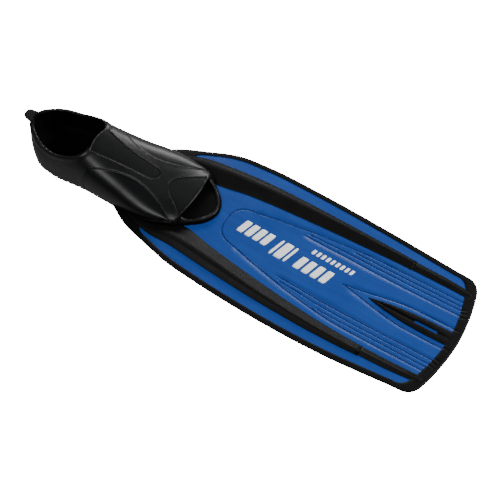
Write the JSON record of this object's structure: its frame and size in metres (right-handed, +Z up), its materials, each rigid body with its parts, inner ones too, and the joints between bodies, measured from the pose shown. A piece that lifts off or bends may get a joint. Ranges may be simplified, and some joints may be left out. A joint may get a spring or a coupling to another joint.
{
  "type": "full-foot swim fin",
  "caption": "Open-toe full-foot swim fin: rubber foot pocket on a long stiff blade with rubber side rails, edge trims, tip trim and a split tip rib.",
  "frame": {"origin": "centre of the bounding box in plan, on the surface that the fin lies on", "axes": "+X from the heel to the blade's tip, +Y to the left side, +Z up through the instep"},
  "size_m": [0.6534, 0.1996, 0.0813],
  "materials": {
    "pocket_rubber": "soft black moulded rubber, satin, polished bands between the panels",
    "panel_rubber": "matte black rubber with a fine moulded grain",
    "gloss_rubber": "smooth black rubber with a semi-gloss sheen",
    "rail_rubber": "black moulded rubber, satin",
    "outsole_rubber": "matte black tread rubber",
    "blade_plastic": "opaque blue polypropylene, satin to semi-gloss, with fine moulded lines"
  },
  "bodies": {
    "foot": {"foot_pocket": "pocket_rubber", "ankle_rim": "pocket_rubber", "heel_tab": "pocket_rubber", "instep_panel": "panel_rubber", "toe_panel": "panel_rubber", "left_side_panel": "gloss_rubber", "right_side_panel": "gloss_rubber", "toe_ring": "pocket_rubber", "blade_root": "blade_plastic", "outsole": "outsole_rubber", "left_rail_root": "rail_rubber", "right_rail_root": "rail_rubber", "left_trim_root": "rail_rubber", "right_trim_root": "rail_rubber"},
    "blade": {"blade": "blade_plastic", "left_rail": "rail_rubber", "right_rail": "rail_rubber", "left_edge_trim": "rail_rubber", "right_edge_trim": "rail_rubber", "tip_trim": "rail_rubber", "centre_rib": "rail_rubber"}
  },
  "joints": [
    {"name": "blade_flex", "type": "hinge", "parent": "foot", "child": "blade", "pos_m": [0.002, 0, 0.0315], "axis": [0, 1, 0], "range_deg": [-28, 28], "stiffness_Nm_per_rad": 60}
  ]
}
